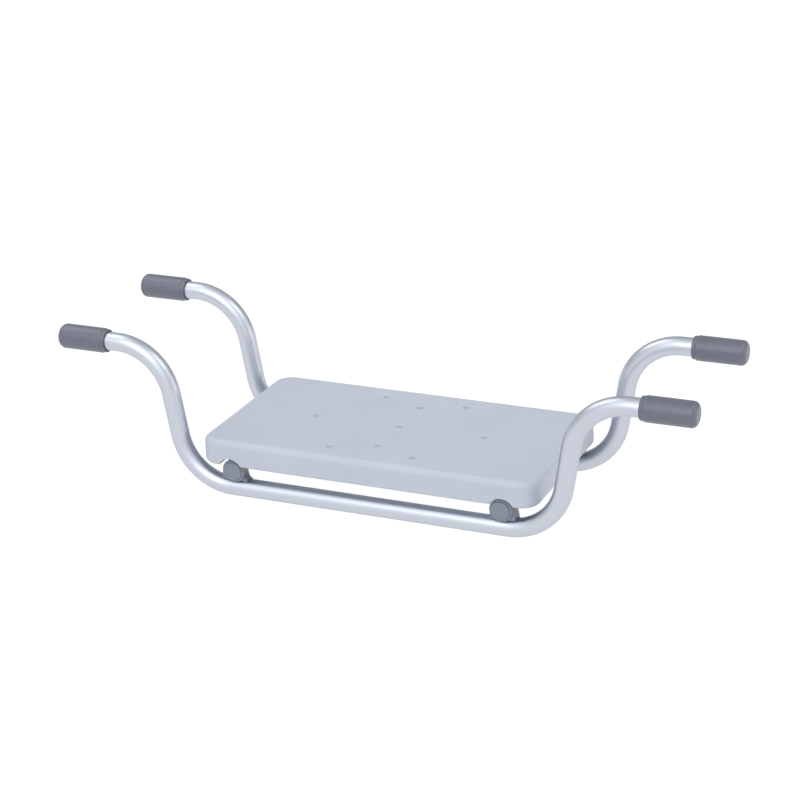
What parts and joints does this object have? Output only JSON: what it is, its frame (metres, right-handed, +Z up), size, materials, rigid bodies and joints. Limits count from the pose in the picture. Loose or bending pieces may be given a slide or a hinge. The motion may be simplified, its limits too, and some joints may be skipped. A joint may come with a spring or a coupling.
{
  "type": "suspended bath seat",
  "caption": "Board seat with drain holes on two bent aluminium tubes whose soft-gripped arms lie on the side rims of a bath.",
  "frame": {"origin": "under the middle of the seat, in the plane that the frame tubes' undersides touch", "axes": "+X across the bath from rim to rim, to the right as seen from the front; +Y along the bath, away from the front; +Z up"},
  "size_m": [0.74, 0.214, 0.1793],
  "materials": {
    "seat_board": "moulded polypropylene, pale blue-grey, fine satin grain",
    "frame_tube": "satin anodised",
    "grip": "soft vinyl, mid grey, matt",
    "cap_and_saddle": "moulded nylon, mid grey",
    "stainless": "plain stainless",
    "insert_brass": "plain brass"
  },
  "bodies": {
    "root": {"front_frame_tube": "frame_tube", "rear_frame_tube": "frame_tube", "left_cross_tube": "frame_tube", "right_cross_tube": "frame_tube", "seat": "seat_board", "grip_front_left": "grip", "cap_front_left": "cap_and_saddle", "saddle_front_left": "cap_and_saddle", "frame_bolt_front_left": "stainless", "rivet_nut_front_left": "stainless", "seat_washer_front_left": "stainless", "seat_screw_front_left": "stainless", "seat_insert_front_left": "insert_brass", "grip_front_right": "grip", "cap_front_right": "cap_and_saddle", "saddle_front_right": "cap_and_saddle", "frame_bolt_front_right": "stainless", "rivet_nut_front_right": "stainless", "seat_washer_front_right": "stainless", "seat_screw_front_right": "stainless", "seat_insert_front_right": "insert_brass", "grip_rear_left": "grip", "cap_rear_left": "cap_and_saddle", "saddle_rear_left": "cap_and_saddle", "frame_bolt_rear_left": "stainless", "rivet_nut_rear_left": "stainless", "seat_washer_rear_left": "stainless", "seat_screw_rear_left": "stainless", "seat_insert_rear_left": "insert_brass", "grip_rear_right": "grip", "cap_rear_right": "cap_and_saddle", "saddle_rear_right": "cap_and_saddle", "frame_bolt_rear_right": "stainless", "rivet_nut_rear_right": "stainless", "seat_washer_rear_right": "stainless", "seat_screw_rear_right": "stainless", "seat_insert_rear_right": "insert_brass"}
  },
  "joints": []
}
